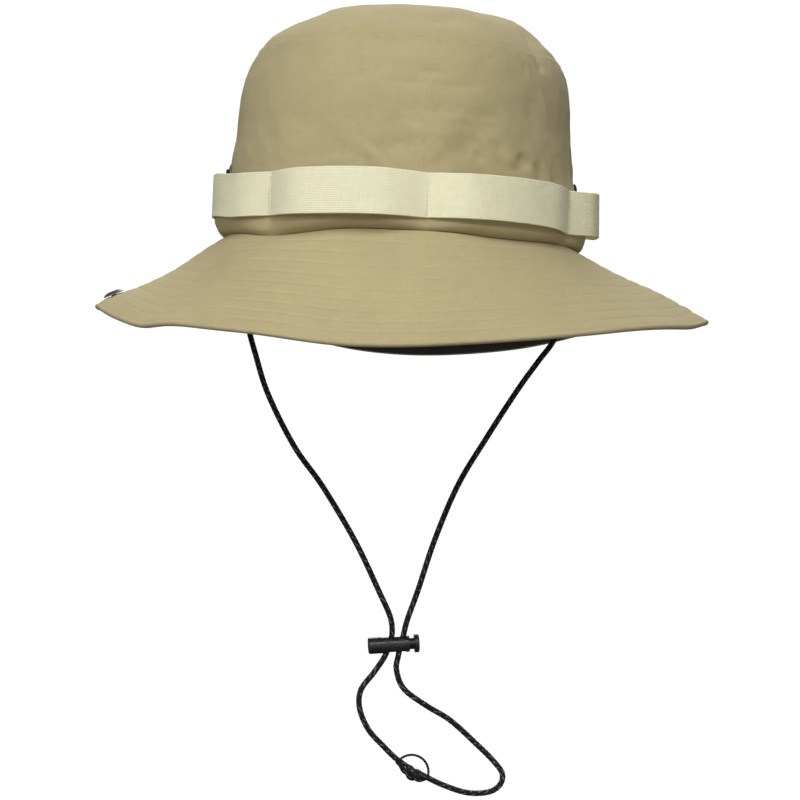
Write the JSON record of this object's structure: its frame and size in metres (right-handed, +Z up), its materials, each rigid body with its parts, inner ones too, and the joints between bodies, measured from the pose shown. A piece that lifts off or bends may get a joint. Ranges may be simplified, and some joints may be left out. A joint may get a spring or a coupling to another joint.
{
  "type": "boonie hat",
  "caption": "Soft brimmed sun hat with a looped webbing band, side snaps to pin the brim up and a chin cord with a sprung cord lock.",
  "frame": {"origin": "centre of the head opening, in the plane of the seam between crown and brim", "axes": "+Z up through the crown, -Y towards the hat's front, +X towards the wearer's left"},
  "size_m": [0.2991, 0.3151, 0.3827],
  "materials": {
    "khaki_cloth": "matt plain-weave cotton blend",
    "lining_cloth": "matt black plain weave",
    "webbing": "cream woven webbing, visible ribs",
    "tape": "khaki woven tape",
    "thread": "cream sewing thread",
    "stiffener": "bonded interlining",
    "snap_metal": "black enamelled, satin",
    "cord": "black braided cord with grey flecks",
    "lock_plastic": "black acetal, satin",
    "spring_steel": "bright spring wire",
    "label": "plain off-white satin tape, blank"
  },
  "bodies": {
    "hat": {"crown_side_left": "khaki_cloth", "crown_side_right": "khaki_cloth", "crown_top_panel": "khaki_cloth", "top_seam_tape": "tape", "front_seam_tape": "tape", "back_seam_tape": "tape", "base_seam_binding": "tape", "sweatband": "lining_cloth", "care_label": "label", "brim_top": "khaki_cloth", "brim_stiffener": "stiffener", "brim_underside": "lining_cloth", "webbing_band": "webbing", "band_tack_1": "thread", "band_tack_2": "thread", "band_tack_3": "thread", "band_tack_4": "thread", "band_tack_5": "thread", "band_tack_6": "thread", "brim_snap_socket_left": "snap_metal", "brim_snap_cap_left": "snap_metal", "crown_snap_stud_left": "snap_metal", "crown_snap_post_left": "snap_metal", "brim_snap_socket_right": "snap_metal", "brim_snap_cap_right": "snap_metal", "crown_snap_stud_right": "snap_metal", "crown_snap_post_right": "snap_metal", "cord_anchor_left": "tape", "cord_anchor_right": "tape", "chin_cord_left": "cord", "chin_cord_right": "cord", "cord_knot": "cord", "knot_loop": "cord"},
    "cord_lock": {"lock_barrel": "lock_plastic", "lock_spring": "spring_steel"},
    "lock_button": {"lock_plunger": "lock_plastic"}
  },
  "joints": [
    {"name": "lock_slide", "type": "slide", "parent": "hat", "child": "cord_lock", "axis": [0, 0, 1], "range_m": [-0.015, 0.05], "deforming": ["chin_cord_left", "chin_cord_right"]},
    {"name": "plunger_press", "type": "slide", "parent": "cord_lock", "child": "lock_button", "axis": [-0.9945, 0, -0.1045], "range_m": [0, 0.0015], "stiffness_N_per_m": 800, "springref_m": -0.003, "deforming": ["lock_spring"]}
  ]
}
